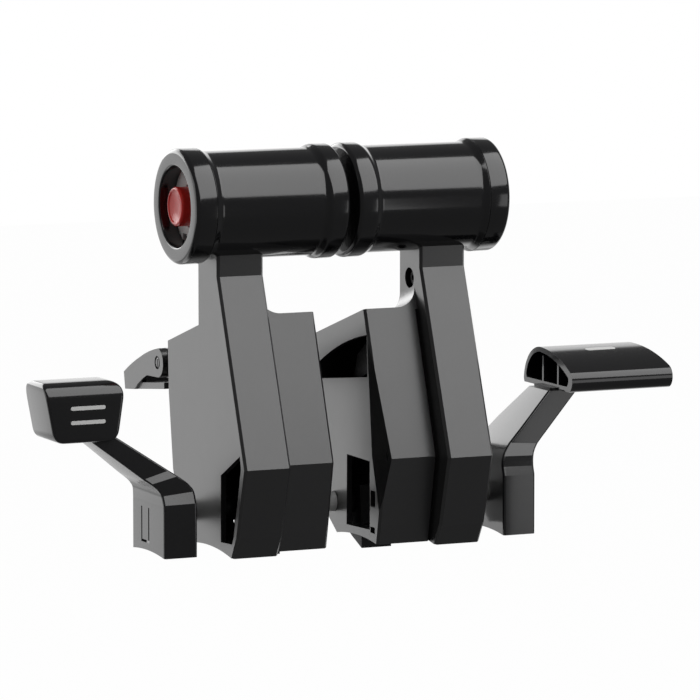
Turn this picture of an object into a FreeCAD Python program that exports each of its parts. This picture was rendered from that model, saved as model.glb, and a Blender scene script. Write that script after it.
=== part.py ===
import FreeCAD, Part
import os
import math
import Sketcher

# Lever cluster of a throttle quadrant: two thrust levers with reverser levers, a speed-brake
# lever and a flap lever on one common pivot shaft.
# Frame: X to the right, Y away from the pilot, Z up, origin on the shaft axis midway between
# the thrust levers. Everything is in millimetres, with the levers at mid travel.

doc = FreeCAD.newDocument("ThrottleQuadrant")

SIZES = {
    # common pivot shaft and what sits on it
    # pivot shaft; the pivot is its place behind and below the drawing origin
    "pivot_y": 2.0, "pivot_up": -10.0,
    "shaft_radius": 3.0, "shaft_left": 72.5, "shaft_right": 79.5,
    "ring_groove": 70.95, "ring_width": 0.8, "ring_depth": 0.5,
    "running_gap": 0.05, "side_gap": 0.2, "spacer_radius": 4.0,
    # thrust lever pods: distances from the middle plane
    "pod_in": 10.5, "split": 32.9, "pod_out": 52.0, "wall": 2.2,
    # side outline of the pod: main column
    "neck_front": -29.3, "neck_back": -10.8, "neck_top": 100.0, "facet_up": 83.5,
    "crease_y": -55.2, "crease_up": 12.7, "low_y": -47.4, "low_up": -14.5,
    "toe_y": -42.7, "toe_up": -22.6, "heel_y": -1.0, "heel_up": -22.0, "sole_radius": 110.0,
    "back_low_y": 6.5, "back_low_up": -17.0, "back_mid_y": 14.9, "back_mid_up": 4.7,
    "back_high_y": 18.9, "back_high_up": 34.0, "shoulder_y": 19.7, "shoulder_up": 54.1,
    "neck_foot_up": 63.4,
    # side outline of the pod: inner box
    "box_top_y": -26.3, "box_top_up": 68.2, "box_crease_y": -45.2, "box_crease_up": 12.3,
    "box_low_y": -39.8, "box_low_up": -14.5, "box_toe_y": -38.2, "box_toe_up": -21.7,
    "neck_round": 8.5, "edge_chamfer": 1.0,
    # hand grip
    "grip_y": -20.0, "grip_up": 110.0, "grip_gap": 1.85, "grip_half": 65.67,
    "barrel_radius": 20.65, "flange_radius": 22.0, "grip_bore": 18.0, "ring_inner": 9.4,
    "cone_inner": 11.6, "cone_outer": 54.4, "flange_in": 57.0, "grip_chamfer": 1.2,
    "recess_radius": 15.5, "recess_floor": 52.0,
    # thumb button
    "button_radius": 7.5, "button_base": 56.0, "stem_radius": 2.5, "stem_end": 47.5,
    # reverser lever
    "hinge_y": 30.5, "hinge_up": 44.3, "hinge_radius": 5.6, "hinge_pin": 1.5, "cheek": 3.0,
    # speed-brake and flap levers
    "base_in": 64.42, "base_out": 78.1, "base_front": -38.6, "base_back": -7.0,
    "base_toe_up": -21.9, "base_heel_up": -21.0, "lug_radius": 6.2, "lug_out": 70.4,
    "base_wall": 2.2, "foot_up": -23.0,
    # speed-brake knob and arm
    "knob_in": 92.3, "knob_out": 124.8, "knob_front": -36.0, "knob_back": -13.6,
    "knob_bottom": 24.1, "knob_top": 46.9,
    # flap handle and arm
    "handle_in": 90.0, "handle_out": 134.0, "handle_bottom": 33.6, "handle_top": 48.7,
    "handle_front": -44.2, "handle_back": -4.2, "handle_apex": -20.4, "arm_top": 31.8,
}

sheet = doc.addObject("Spreadsheet::Sheet", "Dims")
for row, (alias, number) in enumerate(SIZES.items(), start=1):
    sheet.set("A%d" % row, alias)
    sheet.set("B%d" % row, str(number))
    sheet.setAlias("B%d" % row, alias)
doc.recompute()


class Size:
    """A number together with the sheet expression that gives it."""

    def __init__(self, value, text=None):
        self.value = float(value)
        self.text = text or "%.4f" % value

    def __add__(self, other):
        other = as_size(other)
        return Size(self.value + other.value, "(%s + %s)" % (self.text, other.text))

    def __sub__(self, other):
        other = as_size(other)
        return Size(self.value - other.value, "(%s - %s)" % (self.text, other.text))

    def __radd__(self, other):
        return as_size(other) + self

    def __rsub__(self, other):
        return as_size(other) - self

    def __mul__(self, factor):
        return Size(self.value * factor, "(%s * %.4f)" % (self.text, factor))

    __rmul__ = __mul__

    def __neg__(self):
        return Size(-self.value, "(-1 * %s)" % self.text)


def as_size(thing):
    return thing if isinstance(thing, Size) else Size(thing)


class Dims:
    """Attribute access to the cells of the sheet."""

    def __getattr__(self, name):
        return Size(SIZES[name], "Dims.%s" % name)


d = Dims()


# ---------------------------------------------------------------- helpers

def new_body(name, y=0.0, up=0.0):
    """Body whose own axes start at (y, up) of the drawing; the part's origin is the pivot."""
    body = doc.addObject("PartDesign::Body", name)
    body.Label = name
    body.setExpression("Placement.Base.y", (y - d.pivot_y).text)
    body.setExpression("Placement.Base.z", (up - d.pivot_up).text)
    return body


def shaft_body(name):
    return new_body(name, d.pivot_y, d.pivot_up)


def sketch_on(body, role, offset=0.0):
    """Empty sketch on one of the body's origin planes, moved along the plane's normal."""
    sketch = body.newObject("Sketcher::SketchObject", body.Name + "_sketch")
    plane = next(item for item in body.Origin.OriginFeatures if item.Role == role)
    sketch.AttachmentSupport = [(plane, "")]
    sketch.MapMode = "FlatFace"
    sketch.setExpression("AttachmentOffset.Base.z", as_size(offset).text)
    return sketch


def pin_point(sketch, geometry, end, x, y):
    """Fixes one end of a curve at a place given by two sizes."""
    for kind, size, axis in (("DistanceX", x, -2), ("DistanceY", y, -1)):
        if abs(size.value) < 1e-9:
            sketch.addConstraint(Sketcher.Constraint("PointOnObject", geometry, end, axis))
            continue
        index = sketch.addConstraint(Sketcher.Constraint(kind, -1, 1, geometry, end, size.value))
        sketch.setExpression("Constraints[%d]" % index, size.text)


def arc_between(start, end, radius, side):
    """Counter-clockwise arc with these ends, bulging left (+1) or right (-1) of the way."""
    chord = end - start
    left = FreeCAD.Vector(-chord.y, chord.x, 0).normalize()
    depth = math.sqrt(radius ** 2 - (chord.Length / 2) ** 2)
    centre = start + chord * 0.5 - left * (depth * side)
    first, last = (end, start) if side > 0 else (start, end)
    angles = [math.atan2(point.y - centre.y, point.x - centre.x) for point in (first, last)]
    ring = Part.Circle(centre, FreeCAD.Vector(0, 0, 1), radius)
    return Part.ArcOfCircle(ring, angles[0], angles[1])


def outline(sketch, corners, arcs=None):
    """Closed outline through corners; arcs maps a corner's index to (radius, side)."""
    arcs = arcs or {}
    corners = [(as_size(x), as_size(y)) for x, y in corners]
    points = [FreeCAD.Vector(x.value, y.value, 0) for x, y in corners]
    ends = []
    for index, start in enumerate(points):
        end = points[(index + 1) % len(points)]
        if index in arcs:
            radius, side = as_size(arcs[index][0]), arcs[index][1]
            curve = sketch.addGeometry(arc_between(start, end, radius.value, side), False)
            ends.append((curve, 2, 1) if side > 0 else (curve, 1, 2))
            bound = sketch.addConstraint(Sketcher.Constraint("Radius", curve, radius.value))
            sketch.setExpression("Constraints[%d]" % bound, radius.text)
        else:
            curve = sketch.addGeometry(Part.LineSegment(start, end), False)
            ends.append((curve, 1, 2))
    for index, (curve, first, last) in enumerate(ends):
        follower, follower_first, _ = ends[(index + 1) % len(ends)]
        sketch.addConstraint(Sketcher.Constraint("Coincident", curve, last, follower,
                                                 follower_first))
        pin_point(sketch, curve, first, *corners[index])


def circle(sketch, x, y, radius):
    x, y, radius = as_size(x), as_size(y), as_size(radius)
    centre = FreeCAD.Vector(x.value, y.value, 0)
    curve = sketch.addGeometry(Part.Circle(centre, FreeCAD.Vector(0, 0, 1), radius.value), False)
    index = sketch.addConstraint(Sketcher.Constraint("Radius", curve, radius.value))
    sketch.setExpression("Constraints[%d]" % index, radius.text)
    pin_point(sketch, curve, 3, x, y)


def feature(body, kind, sketch, length, reverse=False):
    made = body.newObject("PartDesign::" + kind, body.Name + "_" + kind.lower())
    made.Profile = sketch
    made.Reversed = reverse
    made.setExpression("Length", as_size(length).text)
    return made


def side_pad(body, start, stop, corners, arcs=None):
    """Pad of a side (YZ) outline from X = start to X = stop."""
    sketch = sketch_on(body, "YZ_Plane", start)
    outline(sketch, corners, arcs)
    return feature(body, "Pad", sketch, as_size(stop) - start)


def side_pocket(body, start, stop, corners, arcs=None):
    """Pocket of a side (YZ) outline from X = start to X = stop."""
    sketch = sketch_on(body, "YZ_Plane", start)
    outline(sketch, corners, arcs)
    return feature(body, "Pocket", sketch, as_size(stop) - start, True)


def side_bore(body, start, stop, y, z, radius):
    sketch = sketch_on(body, "YZ_Plane", start)
    circle(sketch, y, z, radius)
    return feature(body, "Pocket", sketch, as_size(stop) - start, True)


def revolve(body, corners, arcs=None):
    """Solid turned about the body's own X axis from a half outline in its XY plane."""
    sketch = sketch_on(body, "XY_Plane")
    outline(sketch, corners, arcs)
    made = body.newObject("PartDesign::Revolution", body.Name + "_turned")
    made.Profile = sketch
    made.ReferenceAxis = (sketch, ["H_Axis"])
    made.Angle = 360
    return made


def dress(body, kind, size, test):
    """Chamfer or Fillet on the edges of the tip that pass the test."""
    doc.recompute()
    tip = body.Tip
    names = ["Edge%d" % (index + 1) for index, edge in enumerate(tip.Shape.Edges) if test(edge)]
    made = body.newObject("PartDesign::" + kind, body.Name + "_" + kind.lower())
    made.Base = (tip, names)
    made.setExpression("Size" if kind == "Chamfer" else "Radius", as_size(size).text)
    doc.recompute()
    return made


def tube(name, start, stop, inner, outer):
    """Tube along X about the shaft axis."""
    body = shaft_body(name)
    revolve(body, [(start, inner), (stop, inner), (stop, outer), (start, outer)])
    return body


def mirrored(source, name):
    """Left-hand twin of a right-hand piece."""
    made = doc.addObject("Part::Mirroring", name)
    made.Label = name
    made.Source = source
    made.Normal = (1, 0, 0)
    return made


# ---------------------------------------------------------------- shaft group

def shaft_group():
    shaft = shaft_body("pivot_shaft")
    left, right, radius = -d.shaft_left, d.shaft_right, d.shaft_radius
    groove, width, floor = d.ring_groove, d.ring_width, d.shaft_radius - d.ring_depth
    revolve(shaft, [
        (left, 0), (right, 0), (right, radius), (groove + width, radius),
        (groove + width, floor), (groove, floor), (groove, radius), (-groove, radius),
        (-groove, floor), (-groove - width, floor), (-groove - width, radius), (left, radius)])
    inner_stop = d.pod_in - d.side_gap
    tube("center_spacer", -inner_stop, inner_stop, radius, d.spacer_radius)
    outer_start = d.pod_out + d.side_gap
    tube("side_spacer_right", outer_start, d.base_in - d.side_gap, radius, d.spacer_radius)
    mirrored(doc.side_spacer_right, "side_spacer_left")
    return [shaft, doc.center_spacer, doc.side_spacer_right, doc.side_spacer_left]


# ---------------------------------------------------------------- thrust lever shell

def shell_corners():
    return [(d.neck_front, d.neck_top), (d.neck_front, d.facet_up), (d.crease_y, d.crease_up),
            (d.low_y, d.low_up), (d.toe_y, d.toe_up), (d.heel_y, d.heel_up),
            (d.back_low_y, d.back_low_up), (d.back_mid_y, d.back_mid_up),
            (d.back_high_y, d.back_high_up), (d.shoulder_y, d.shoulder_up),
            (d.neck_back, d.neck_foot_up), (d.neck_back, d.neck_top)]


def box_corners():
    return [(d.box_top_y, d.box_top_up), (d.box_crease_y, d.box_crease_up),
            (d.box_low_y, d.box_low_up), (d.box_toe_y, d.box_toe_up), (d.heel_y, d.heel_up),
            (d.back_low_y, d.back_low_up), (d.back_mid_y, d.back_mid_up),
            (d.back_high_y, d.back_high_up), (d.shoulder_y, d.shoulder_up)]


def box_hollow_corners():
    """The inner box's outline moved in by the wall."""
    steps = [(0.6, -1.3), (1.05, 0), (1.05, 0.1), (1.1, 1.1), (-0.3, 1.2), (-0.9, 0.5),
             (-1.1, 0.2), (-1.05, 0), (-1.1, -1.0)]
    return [(y + d.wall * step_y, z + d.wall * step_z)
            for (y, z), (step_y, step_z) in zip(box_corners(), steps)]


def hinge_lug(body, start, stop):
    """Rear lug that carries the reverser lever's pin."""
    root = d.back_high_y - 0.8
    side_pad(body, start, stop, [
        (root, d.hinge_up + 6.0), (d.hinge_y + 1, d.hinge_up + 5.51),
        (d.hinge_y + 1, d.hinge_up - 5.51), (root, d.hinge_up - 6.6)], {1: (d.hinge_radius, 1)})
    side_bore(body, start, stop, d.hinge_y, d.hinge_up, d.hinge_pin + d.running_gap)


def front_edges(body, planes):
    """Test for the front edges of a pod piece that lie in one of the given X planes."""
    def test(edge):
        ends = [vertex.Point for vertex in edge.Vertexes]
        flat = any(all(abs(point.x - plane) < 1e-4 for point in ends) for plane in planes)
        return flat and max(point.y for point in ends) < SIZES["box_top_y"] + 0.1
    return test


def pivot_boss(body, start, length):
    """Thick ring inside a side wall, around the shaft."""
    boss = sketch_on(body, "YZ_Plane", start)
    circle(boss, d.pivot_y, d.pivot_up, 6.3)
    feature(body, "Pad", boss, length)


def thrust_shell():
    """Outer moulding of a thrust lever: side wall, front column and neck in one."""
    body = new_body("thrust_shell_right")
    side_pad(body, d.split, d.pod_out, shell_corners(), {4: (d.sole_radius, 1)})
    dress(body, "Chamfer", d.edge_chamfer,
          front_edges(body, (SIZES["split"], SIZES["pod_out"])))
    hinge_lug(body, d.split, d.pod_out - d.cheek - 0.3)
    side_bore(body, d.split, d.pod_out, d.grip_y, d.grip_up, d.barrel_radius)
    side_pocket(body, d.split, d.pod_out - d.wall, box_hollow_corners(), {3: (d.sole_radius, 1)})
    side_pocket(body, d.split + d.wall, d.pod_out - d.wall, [
        (-34.6, 62.0), (d.crease_y + d.wall, d.crease_up), (d.low_y + d.wall, d.low_up),
        (-40.7, -20.1), (-22.0, -17.8), (-22.0, 62.0)])
    side_pocket(body, d.pod_out - d.wall - 0.5, d.pod_out, [
        (-32.0, 8.1), (-50.2, 17.6), (-51.2, 12.7), (-44.2, -13.9), (-42.6, -17.0),
        (-31.8, -17.6)])
    pivot_boss(body, d.pod_out - 6, 5.0)
    side_bore(body, d.pod_out - 7, d.pod_out, d.pivot_y, d.pivot_up, d.shaft_radius + d.running_gap)
    tenon_socket(body)
    side_bore(body, d.split, d.split + 3.4, NECK_SCREW[0], NECK_SCREW[1], 4.0)
    side_bore(body, d.split, 50.0, NECK_SCREW[0], NECK_SCREW[1], 1.5)
    return body


NECK_SCREW = (-19.5, 78.6)
TENON = (37.5, 47.5, 4.0, 73.0)


def tenon_socket(body):
    """Socket in the neck for the grip's tenon."""
    start, stop, half, foot = TENON
    side_pocket(body, start, stop, [
        (d.grip_y - half, foot), (d.grip_y - half, d.neck_top),
        (d.grip_y + half, d.neck_top), (d.grip_y + half, foot)])


# ---------------------------------------------------------------- thrust lever cover

def front_sketch(body, y):
    """Sketch parallel to the XZ plane at the given Y; its own axes are X and Z."""
    return sketch_on(body, "XZ_Plane", -as_size(y))


def neck_round_sections(body):
    """Front and rear section of the round between the cover's top and the neck."""
    slope = (SIZES["box_top_up"] - SIZES["shoulder_up"]) / (SIZES["shoulder_y"] - SIZES["box_top_y"])
    sections = []
    for y in (d.box_top_y - 3, d.neck_back):
        up = d.box_top_up - (y - d.box_top_y) * slope
        sketch = front_sketch(body, y)
        left = d.split - d.neck_round
        outline(sketch, [(left, up - 1), (left, up), (d.split, up + d.neck_round),
                         (d.split, up - 1)], {1: (d.neck_round, -1)})
        sections.append(sketch)
    return sections


def wedge_section(body, up, front, width, depth):
    """Triangle across the front inner corner of the cover at one height."""
    sketch = sketch_on(body, "XY_Plane", up)
    over = 0.3
    outline(sketch, [
        (d.pod_in - width * over, front + depth * (1 + over)),
        (d.pod_in - width * over - 0.5, front - depth * over - 0.5),
        (d.pod_in + width * (1 + over), front - depth * over)])
    return sketch


def loft(body, kind, sections):
    made = body.newObject("PartDesign::" + kind, body.Name + "_" + kind.lower())
    made.Profile = sections[0]
    made.Sections = sections[1:]
    made.Ruled = True
    doc.recompute()
    return made


def thrust_cover(name, wedge):
    """Inner moulding of a thrust lever: the set-back box with its side wall."""
    body = new_body(name)
    side_pad(body, d.pod_in, d.split, box_corners(), {3: (d.sole_radius, 1)})
    dress(body, "Chamfer", d.edge_chamfer, front_edges(body, (SIZES["split"], SIZES["pod_in"])))
    loft(body, "AdditiveLoft", neck_round_sections(body))
    side_pocket(body, d.split - d.neck_round - 1, d.split, [
        (d.box_top_y, d.box_top_up), (-22.66, 79.0), (-32.0, 79.0), (-32.0, 66.0),
        (-27.04, 66.0)])
    if wedge:
        loft(body, "SubtractiveLoft", [
            wedge_section(body, 60.0, -29.1, 0.1, 0.4),
            wedge_section(body, d.box_crease_up, d.box_crease_y, 3.0, 11.7),
            wedge_section(body, -10.0, -40.7, 0.1, 0.4)])
    side_pocket(body, d.pod_in + d.wall, d.split, box_hollow_corners(), {3: (d.sole_radius, 1)})
    through = d.pod_in + d.wall + 0.3
    side_pocket(body, d.pod_in, through,
                [(-29.2, 42.1), (-28.6, 58.4), (15.5, 43.4), (15.5, 36.6)], {1: (150.0, 1)})
    side_pocket(body, d.pod_in, through,
                [(-10.4, 10.0), (-31.5, 9.8), (-31.6, -16.8), (-10.0, -17.6)])
    if wedge:
        side_pocket(body, d.pod_in, through,
                    [(-32.3, -1.3), (-36.5, -1.3), (-36.5, -7.5), (-32.3, -7.5)])
        side_pocket(body, d.pod_in, through,
                    [(-32.2, -15.4), (-36.2, -15.4), (-36.2, -17.8), (-32.2, -17.8)])
    hinge_lug(body, d.pod_in + d.cheek + 0.3, d.split)
    pivot_boss(body, d.pod_in + 1, 5.0)
    side_bore(body, d.pod_in, d.pod_in + 7, d.pivot_y, d.pivot_up, d.shaft_radius + d.running_gap)
    slot = sketch_on(body, "XY_Plane", -26.0)
    outline(slot, [(16.9, -10.0), (31.0, -10.0), (31.0, 7.0), (16.9, 7.0)])
    feature(body, "Pocket", slot, 12.0, True)
    return body


def lever_core():
    """Cast lever inside a pod: hub on the shaft, drive tongue and arm."""
    body = new_body("lever_core_right")
    bore = d.shaft_radius + d.running_gap
    hub_in, hub_out = d.pod_in + 6.0, d.pod_out - 6.0
    side_pad(body, 17.4, 30.1, [(-9.0, -27.6), (0.2, -23.9), (6.0, -20.9), (6.0, -15.5),
                                (4.6, -14.2), (4.6, -3.0), (-7.5, -3.0), (-9.0, -19.0)])
    side_pad(body, 20.7, 26.7, [(-8.0, -3.5), (-13.0, 25.0), (-19.0, 50.0), (-9.0, 54.5),
                                (2.0, 47.0), (8.0, 32.0), (6.0, 8.0), (4.6, -3.5)])
    side_bore(body, 20.7, 26.7, -6.5, 34.0, 6.0)
    hub = sketch_on(body, "YZ_Plane", hub_in)
    circle(hub, d.pivot_y, d.pivot_up, bore + 1.5)
    feature(body, "Pad", hub, hub_out - hub_in)
    side_bore(body, hub_in, hub_out, d.pivot_y, d.pivot_up, bore)
    return body


def group(name, members):
    """Several solids that share one node."""
    made = doc.addObject("Part::Compound", name)
    made.Label = name
    made.Links = members
    return made


def screw(name, start, stop, y, z, head=2.6, shank=1.5):
    """Cap screw along X with a hexagon socket; its head is at the start."""
    body = new_body(name, as_size(y), as_size(z))
    start, stop = as_size(start), as_size(stop)
    revolve(body, [(start, 0), (stop, 0), (stop, shank), (start + 1.8, shank),
                   (start + 1.8, head), (start, head)])
    socket = sketch_on(body, "YZ_Plane", start)
    corners = [(1.3 * math.cos(math.radians(60 * k)), 1.3 * math.sin(math.radians(60 * k)))
               for k in range(6)]
    outline(socket, corners)
    feature(body, "Pocket", socket, 1.0, True)
    return body


# ---------------------------------------------------------------- hand grip

def grip_body(name):
    """Body whose own X axis is the hand grip's axis."""
    return new_body(name, d.grip_y, d.grip_up)


def grip_sleeve():
    body = grip_body("grip_sleeve_right")
    start, bore, cut = d.grip_gap, d.grip_bore, d.grip_chamfer
    revolve(body, [
        (start, 0), (start + 2.6, 0), (start + 2.6, bore), (d.flange_in, bore),
        (d.flange_in, d.flange_radius), (d.cone_outer, d.barrel_radius),
        (d.cone_inner, d.barrel_radius), (d.ring_inner, d.flange_radius),
        (start + cut, d.flange_radius), (start, d.flange_radius - cut)])
    first, last, half, foot = TENON
    tenon = sketch_on(body, "XY_Plane", foot - SIZES["grip_up"])
    outline(tenon, [(first, -half), (last, -half), (last, half), (first, half)])
    feature(body, "Pad", tenon, SIZES["grip_up"] - foot - 18.5)
    side_bore(body, first, last, NECK_SCREW[0] - SIZES["grip_y"], NECK_SCREW[1] - SIZES["grip_up"],
              1.5)
    return body


def grip_end_ring():
    body = grip_body("grip_end_ring_right")
    outer, inner, cut = d.grip_half, d.recess_radius, d.grip_chamfer
    revolve(body, [
        (53.0, inner), (outer, inner), (outer, d.flange_radius - cut),
        (outer - cut, d.flange_radius), (d.flange_in, d.flange_radius),
        (d.flange_in, d.grip_bore), (53.0, d.grip_bore)])
    return body


def button_housing():
    body = grip_body("button_housing_right")
    hole, floor = d.stem_radius + 0.1, d.recess_floor
    revolve(body, [
        (50.0, hole), (floor, hole), (floor, d.recess_radius), (53.0, d.recess_radius),
        (53.0, d.grip_bore), (50.0, d.grip_bore)])
    side_pad(body, floor - 0.5, 54.6, [(-0.7, 8.6), (0.7, 8.6), (0.7, 15.45), (-0.7, 15.45)])
    doc.recompute()
    pattern = body.newObject("PartDesign::PolarPattern", "housing_ribs")
    axis = next(item for item in body.Origin.OriginFeatures if item.Role == "X_Axis")
    pattern.Originals = [body.Tip]
    pattern.Axis = (axis, [""])
    pattern.Angle = 360
    pattern.Occurrences = 4
    body.Tip = pattern
    doc.recompute()
    return body


def thumb_button():
    body = grip_body("thumb_button_right")
    end, radius, stem = d.grip_half, d.button_radius, d.stem_radius
    revolve(body, [
        (d.stem_end, 0), (end - 1.2, 0), (end, radius - 1.0), (end, radius),
        (d.button_base, radius), (d.button_base, stem), (d.stem_end, stem)])
    return body


def button_board():
    """Switch board held by the housing's rear posts."""
    body = grip_body("button_board_right")
    for start, stop, half in ((38.4, 40.0, 9.0), (39.9, 44.0, 3.0), (43.9, 44.9, 1.2)):
        side_pad(body, start, stop, [(-half, -half), (half, -half), (half, half), (-half, half)])
    for y in (-1, 1):
        side_pad(body, 39.5, 50.0, [(7.0 * y - 1, -1.5), (7.0 * y + 1, -1.5),
                                    (7.0 * y + 1, 1.5), (7.0 * y - 1, 1.5)])
    return body


def button_spring():
    """Envelope of the coil between the housing's floor and the button."""
    body = grip_body("button_spring_right")
    revolve(body, [(52.05, 4.2), (55.95, 4.2), (55.95, 5.0), (52.05, 5.0)])
    return body


# ---------------------------------------------------------------- reverser lever

def cheek_corners():
    y, z = d.hinge_y, d.hinge_up
    return [(y - 1, z + 5.71), (47.7, 44.8), (64.9, 37.0), (63.6, 30.3), (54.1, 31.2),
            (40.9, 38.2), (y - 1, z - 5.71)]


def reverser_lever():
    """Yoke of two cheeks joined by a hand bar and a web."""
    body = new_body("reverser_lever_right")
    side_pad(body, d.pod_in, d.pod_out, [(54.1, 31.2), (63.6, 30.3), (64.9, 37.0), (55.5, 41.2)])
    side_pad(body, d.pod_in + 1, d.pod_out - 1,
             [(26.0, 34.4), (54.6, 31.2), (54.6, 33.8), (26.0, 36.9)])
    arcs = {0: (90.0, 1), 1: (120.0, 1), 4: (45.0, -1), 6: (5.8, 1)}
    for start in (d.pod_in, d.pod_out - d.cheek):
        side_pad(body, start, start + d.cheek, cheek_corners(), arcs)
    side_bore(body, d.pod_in, d.pod_out, d.hinge_y, d.hinge_up, d.hinge_pin)
    side_bore(body, d.pod_out - 1.2, d.pod_out, d.hinge_y, d.hinge_up, 2.6)
    return body


def reverser_pin():
    """Hinge pin with a low head sunk in the outer cheek."""
    body = new_body("reverser_pin_right", d.hinge_y, d.hinge_up)
    pin, inner, seat = d.hinge_pin, d.pod_in, d.pod_out - 1.2
    revolve(body, [(inner, 0), (seat + 0.7, 0), (seat + 0.7, 2.6), (seat, 2.6), (seat, pin),
                   (inner, pin)])
    return body


# ---------------------------------------------------------------- speed-brake and flap levers

def front_pad(body, y_from, y_to, corners, arcs=None):
    """Pad of a front (XZ) outline from one Y to another, away from the pilot."""
    sketch = front_sketch(body, y_from)
    outline(sketch, corners, arcs)
    return feature(body, "Pad", sketch, as_size(y_to) - y_from, True)


def plan_pocket(body, z_from, z_to, corners):
    sketch = sketch_on(body, "XY_Plane", z_from)
    outline(sketch, corners)
    return feature(body, "Pocket", sketch, as_size(z_to) - z_from, True)


def lever_foot(body, side):
    """Sole, socket and shaft lug that both outer levers share; side is -1 or +1."""
    def across(near, far):
        return (near, far) if side > 0 else (-far, -near)
    side_pocket(body, *across(d.base_in - 1, d.base_out + 1), [
        (d.base_front - 1, d.foot_up - 1), (d.base_front - 1, d.base_toe_up),
        (d.base_front, d.base_toe_up), (d.base_back, d.base_heel_up),
        (d.base_back + 1, d.base_heel_up), (d.base_back + 1, d.foot_up - 1)],
        {2: (d.sole_radius, 1)})
    inner, outer = across(d.base_in + d.base_wall, d.base_out - d.base_wall)
    plan_pocket(body, -24.0, -3.0, [(inner, -34.0), (outer, -34.0), (outer, -11.0), (inner, -11.0)])
    start, stop = across(d.base_in, d.lug_out)
    y, z, radius = d.pivot_y, d.pivot_up, d.lug_radius
    side_pad(body, start, stop, [
        (d.base_back - 1, z + radius - 0.08), (y + 1, z + radius - 0.08),
        (y + 1, z - radius + 0.08), (d.base_back - 1, z - radius + 0.08)], {1: (radius, 1)})
    side_bore(body, start, stop, y, z, d.shaft_radius + d.running_gap)


def speed_brake_arm():
    body = new_body("speed_brake_arm")
    front_pad(body, d.base_front, d.base_back, [
        (-d.base_in, d.foot_up), (-d.base_in, -0.2), (-68.5, 7.55),
        (-93.35, d.knob_bottom), (-105.5, d.knob_bottom), (-80.5, 5.13), (-d.base_out, 0.33),
        (-d.base_out, d.foot_up)], {1: (9.3, -1), 5: (6.0, 1)})
    plan_pocket(body, -5.0, 40.0, [(-79.0, -38.7), (-107.0, -33.0), (-107.0, -40.0), (-79.0, -40.0)])
    plan_pocket(body, -5.0, 40.0, [(-79.0, -6.9), (-107.0, -17.0), (-107.0, -5.0), (-79.0, -5.0)])
    lever_foot(body, -1)
    for corners in ([(-23.6, -17.5), (-23.0, -17.5), (-23.0, -4.0), (-23.6, -4.0)],
                    [(-16.7, -17.5), (-16.1, -17.5), (-16.1, -4.0), (-16.7, -4.0)],
                    [(-23.6, -17.5), (-16.1, -17.5), (-16.1, -16.9), (-23.6, -16.9)]):
        side_pocket(body, -d.base_out - 0.5, -d.base_out + d.base_wall + 0.2, corners)
    return body


def speed_brake_knob():
    body = new_body("speed_brake_knob")
    top, bottom = d.knob_top, d.knob_bottom
    front_pad(body, d.knob_front, d.knob_back, [
        (-122.0, top), (-96.5, top), (-92.3, 42.5), (-94.3, 26.8), (-97.6, bottom),
        (-118.4, bottom), (-121.6, 26.8), (-124.8, 44.2)],
        {1: (4.3, 1), 3: (3.3, 1), 5: (3.3, 1), 7: (2.9, 1)})
    top, reach = d.knob_top, 5.0
    for edge, inward in ((d.knob_front, 1), (d.knob_back, -1)):
        side_pocket(body, -d.knob_out - 1, 1 - d.knob_in, [
            (edge, top - reach), (edge + reach * inward, top),
            (edge + reach * inward, top + 1), (edge - inward, top + 1),
            (edge - inward, top - reach)], {0: (reach, inward)})
    return body


def flap_arm():
    body = new_body("flap_arm")
    front_pad(body, d.base_front, d.base_back, [
        (d.base_in, d.foot_up), (d.base_out, d.foot_up), (d.base_out, 7.0), (80.3, 12.6),
        (98.0, d.arm_top), (85.2, d.arm_top), (66.4, 11.4), (d.base_in, 6.3)],
        {2: (10.0, 1), 6: (9.0, 1)})
    plan_pocket(body, 2.0, 40.0, [(79.0, -38.7), (98.0, -33.0), (98.0, -40.0), (79.0, -40.0)])
    plan_pocket(body, 2.0, 40.0, [(79.0, -6.9), (98.0, -15.0), (98.0, -5.0), (79.0, -5.0)])
    neck = sketch_on(body, "XY_Plane", d.arm_top - 1)
    outline(neck, [(87.5, -30.0), (95.0, -30.0), (95.0, -18.0), (87.5, -18.0)])
    feature(body, "Pad", neck, d.handle_bottom + 1 - d.arm_top)
    lever_foot(body, 1)
    return body


def handle_outline(wall):
    """Side outline of the flap handle, moved in by a wall."""
    bottom, top = d.handle_bottom + wall, d.handle_top - wall
    return [(d.handle_front + 0.7 + wall, bottom), (d.handle_front - 0.6 + wall, 41.3 - wall),
            (d.handle_apex, top), (d.handle_back - wall, bottom + 1.5),
            (d.handle_back - 0.5 - wall, bottom)]


def flap_handle():
    """Wing-shaped grip, open at its inner end with two upright ribs."""
    body = new_body("flap_handle")
    side_pad(body, d.handle_in, d.handle_out, handle_outline(0),
             {0: (4.6, 1), 1: (52.0, 1), 2: (14.6, 1)})
    plan_pocket(body, 30.0, 50.0, [(134.5, -46.0), (134.1, -44.0), (126.7, -4.0), (126.7, -1.0),
                                   (136.0, -1.0), (136.0, -46.0)])
    side_pocket(body, d.handle_in, d.handle_in + 34, handle_outline(2.0),
                {0: (3.0, 1), 1: (50.0, 1), 2: (12.6, 1)})
    for y in (-21.6, -34.6):
        side_pad(body, d.handle_in, d.handle_in + 35, [
            (y, d.handle_bottom + 1), (y + 1.2, d.handle_bottom + 1), (y + 1.2, 45.4), (y, 45.4)])
    return body


# ---------------------------------------------------------------- document

def retaining_rings():
    """Clips in the shaft's grooves, outside the outer levers' lugs."""
    floor, ring = d.shaft_radius - d.ring_depth, d.ring_groove
    return [tube("clip_" + tag, ring * sign, (ring + d.ring_width) * sign, floor, 4.6)
            for sign, tag in ((1, "right"), (-1, "left"))]


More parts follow.
